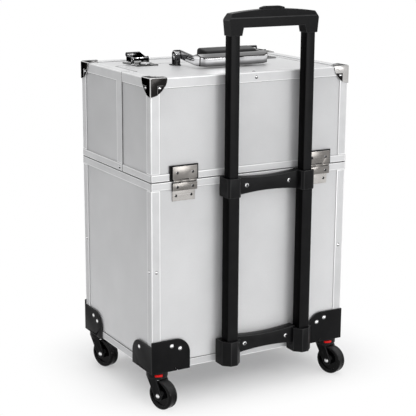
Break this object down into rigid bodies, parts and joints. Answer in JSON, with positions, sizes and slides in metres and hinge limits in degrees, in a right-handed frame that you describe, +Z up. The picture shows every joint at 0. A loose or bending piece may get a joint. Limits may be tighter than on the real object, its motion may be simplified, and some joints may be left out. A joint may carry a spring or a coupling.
{
  "type": "rolling makeup case",
  "caption": "Upright aluminium-edged makeup case with a two-part hinged lid, levelling trays, telescopic trolley, carry handle, latches and swivel casters.",
  "frame": {"origin": "on the floor under the middle of the whole outline", "axes": "+Z up, +Y towards the trolley at the rear, +X to the left when seen from the rear"},
  "size_m": [0.3694, 0.2919, 0.636],
  "materials": {
    "silver_panel": "silver foil on board",
    "silver_profile": "bright satin",
    "hinge_metal": "nickel plate",
    "cap_metal": "dark nickel plate",
    "fastener_metal": "bright zinc",
    "bright_chrome": "polished",
    "black_coat": "black powder coat",
    "black_steel": "black powder coat",
    "black_plastic": "fine grain",
    "wheel_black": "gloss",
    "red_plastic": "gloss",
    "tray_plastic": "satin"
  },
  "bodies": {
    "base": {"base_long_panels": "silver_panel", "base_side_panels": "silver_panel", "base_bottom_panel": "silver_panel", "base_profiles": "silver_profile", "base_rim": "silver_profile", "base_fasteners": "fastener_metal", "corner_brackets": "black_steel", "caster_sockets": "black_plastic", "base_hinge_leaves": "hinge_metal", "hinge_pins": "fastener_metal", "tray_link_posts": "hinge_metal", "trolley_outer_tubes": "black_coat", "trolley_mid_bracket": "black_plastic", "trolley_foot_bracket": "black_plastic"},
    "rear_lid": {"rear_lid_back_panel": "silver_panel", "rear_lid_side_panels": "silver_panel", "rear_lid_top_panel": "silver_panel", "rear_lid_profiles": "silver_profile", "rear_lid_rim": "silver_profile", "rear_lid_corner_caps": "cap_metal", "rear_lid_fasteners": "fastener_metal", "rear_lid_hinge_leaves": "hinge_metal", "handle_posts": "bright_chrome", "latch_keepers": "bright_chrome"},
    "front_lid": {"front_lid_front_panel": "silver_panel", "front_lid_side_panels": "silver_panel", "front_lid_top_panel": "silver_panel", "front_lid_profiles": "silver_profile", "front_lid_rim": "silver_profile", "front_lid_corner_caps": "cap_metal", "front_lid_fasteners": "fastener_metal", "front_lid_hinge_leaves": "hinge_metal", "latch_bases": "bright_chrome"},
    "latch_left": {"latch_lever_left": "bright_chrome"},
    "latch_right": {"latch_lever_right": "bright_chrome"},
    "carry_handle": {"handle_bail": "bright_chrome", "handle_grip": "black_plastic"},
    "trolley_stage_2": {"trolley_middle_tubes": "black_coat"},
    "trolley_stage_3": {"trolley_inner_tubes": "black_coat", "trolley_grip": "black_plastic"},
    "trolley_button": {"trolley_button": "black_plastic"},
    "tray_lower": {"tray_lower": "tray_plastic"},
    "tray_upper": {"tray_upper": "tray_plastic"},
    "tray_links": {"tray_links": "hinge_metal"},
    "caster_rear_left": {"caster_fork_rear_left": "black_steel", "caster_axle_rear_left": "fastener_metal"},
    "wheel_rear_left": {"caster_wheel_rear_left": "wheel_black"},
    "release_rear_left": {"caster_release_rear_left": "red_plastic"},
    "caster_rear_right": {"caster_fork_rear_right": "black_steel", "caster_axle_rear_right": "fastener_metal"},
    "wheel_rear_right": {"caster_wheel_rear_right": "wheel_black"},
    "release_rear_right": {"caster_release_rear_right": "red_plastic"},
    "caster_front_left": {"caster_fork_front_left": "black_steel", "caster_axle_front_left": "fastener_metal"},
    "wheel_front_left": {"caster_wheel_front_left": "wheel_black"},
    "release_front_left": {"caster_release_front_left": "red_plastic"},
    "caster_front_right": {"caster_fork_front_right": "black_steel", "caster_axle_front_right": "fastener_metal"},
    "wheel_front_right": {"caster_wheel_front_right": "wheel_black"},
    "release_front_right": {"caster_release_front_right": "red_plastic"}
  },
  "joints": [
    {"name": "rear_lid_hinge", "type": "hinge", "parent": "base", "child": "rear_lid", "pos_m": [0, 0.11705, 0.373], "axis": [-1, 0, 0], "range_deg": [0, 2.4]},
    {"name": "front_lid_hinge", "type": "hinge", "parent": "base", "child": "front_lid", "pos_m": [0, -0.14315, 0.373], "axis": [1, 0, 0], "range_deg": [0, 92]},
    {"name": "latch_left_pivot", "type": "hinge", "parent": "front_lid", "child": "latch_left", "pos_m": [0.106, -0.07205, 0.54], "axis": [-1, 0, 0], "range_deg": [0, 70]},
    {"name": "latch_right_pivot", "type": "hinge", "parent": "front_lid", "child": "latch_right", "pos_m": [-0.124, -0.07205, 0.54], "axis": [-1, 0, 0], "range_deg": [0, 70]},
    {"name": "carry_handle_pivot", "type": "hinge", "parent": "rear_lid", "child": "carry_handle", "pos_m": [-0.014, -0.03405, 0.549], "axis": [1, 0, 0], "range_deg": [0, 95]},
    {"name": "trolley_lower_slide", "type": "slide", "parent": "base", "child": "trolley_stage_2", "axis": [0, 0, 1], "range_m": [-0.215, 0]},
    {"name": "trolley_upper_slide", "type": "slide", "parent": "trolley_stage_2", "child": "trolley_stage_3", "axis": [0, 0, 1], "range_m": [0, 0.2]},
    {"name": "trolley_button_press", "type": "slide", "parent": "trolley_stage_3", "child": "trolley_button", "axis": [0, 0, -1], "range_m": [0, 0.003], "stiffness_N_per_m": 600, "springref_m": -0.002},
    {"name": "tray_lower_pivot", "type": "hinge", "parent": "front_lid", "child": "tray_lower", "pos_m": [0, -0.10115, 0.411], "axis": [1, 0, 0], "range_deg": [-92, 0]},
    {"name": "tray_upper_pivot", "type": "hinge", "parent": "front_lid", "child": "tray_upper", "pos_m": [0, -0.10115, 0.483], "axis": [1, 0, 0], "range_deg": [-92, 0]},
    {"name": "tray_links_pivot", "type": "hinge", "parent": "base", "child": "tray_links", "pos_m": [0, -0.12515, 0.381], "axis": [1, 0, 0], "range_deg": [0, 92]},
    {"name": "caster_rear_left_swivel", "type": "hinge", "parent": "base", "child": "caster_rear_left", "pos_m": [0.164, 0.09595, 0.05], "axis": [0, 0, 1], "continuous": true},
    {"name": "wheel_rear_left_spin", "type": "hinge", "parent": "caster_rear_left", "child": "wheel_rear_left", "pos_m": [0.15967, 0.10927, 0.024], "axis": [0.9511, 0.309, 0], "continuous": true},
    {"name": "release_rear_left_press", "type": "slide", "parent": "base", "child": "release_rear_left", "axis": [-0.309, -0.9511, 0], "range_m": [0, 0.0015], "stiffness_N_per_m": 500, "springref_m": -0.001},
    {"name": "caster_rear_right_swivel", "type": "hinge", "parent": "base", "child": "caster_rear_right", "pos_m": [-0.164, 0.09595, 0.05], "axis": [0, 0, 1], "continuous": true},
    {"name": "wheel_rear_right_spin", "type": "hinge", "parent": "caster_rear_right", "child": "wheel_rear_right", "pos_m": [-0.16833, 0.10927, 0.024], "axis": [0.9511, 0.309, 0], "continuous": true},
    {"name": "release_rear_right_press", "type": "slide", "parent": "base", "child": "release_rear_right", "axis": [-0.309, -0.9511, 0], "range_m": [0, 0.0015], "stiffness_N_per_m": 500, "springref_m": -0.001},
    {"name": "caster_front_left_swivel", "type": "hinge", "parent": "base", "child": "caster_front_left", "pos_m": [0.164, -0.12205, 0.05], "axis": [0, 0, 1], "continuous": true},
    {"name": "wheel_front_left_spin", "type": "hinge", "parent": "caster_front_left", "child": "wheel_front_left", "pos_m": [0.15967, -0.10873, 0.024], "axis": [0.9511, 0.309, 0], "continuous": true},
    {"name": "release_front_left_press", "type": "slide", "parent": "base", "child": "release_front_left", "axis": [-0.309, -0.9511, 0], "range_m": [0, 0.0015], "stiffness_N_per_m": 500, "springref_m": -0.001},
    {"name": "caster_front_right_swivel", "type": "hinge", "parent": "base", "child": "caster_front_right", "pos_m": [-0.164, -0.12205, 0.05], "axis": [0, 0, 1], "continuous": true},
    {"name": "wheel_front_right_spin", "type": "hinge", "parent": "caster_front_right", "child": "wheel_front_right", "pos_m": [-0.16833, -0.10873, 0.024], "axis": [0.9511, 0.309, 0], "continuous": true},
    {"name": "release_front_right_press", "type": "slide", "parent": "base", "child": "release_front_right", "axis": [-0.309, -0.9511, 0], "range_m": [0, 0.0015], "stiffness_N_per_m": 500, "springref_m": -0.001}
  ],
  "couplings": [
    {"joint": "tray_lower_pivot", "follows": "front_lid_hinge", "ratio": -1},
    {"joint": "tray_upper_pivot", "follows": "front_lid_hinge", "ratio": -1},
    {"joint": "tray_links_pivot", "follows": "front_lid_hinge", "ratio": 1}
  ]
}
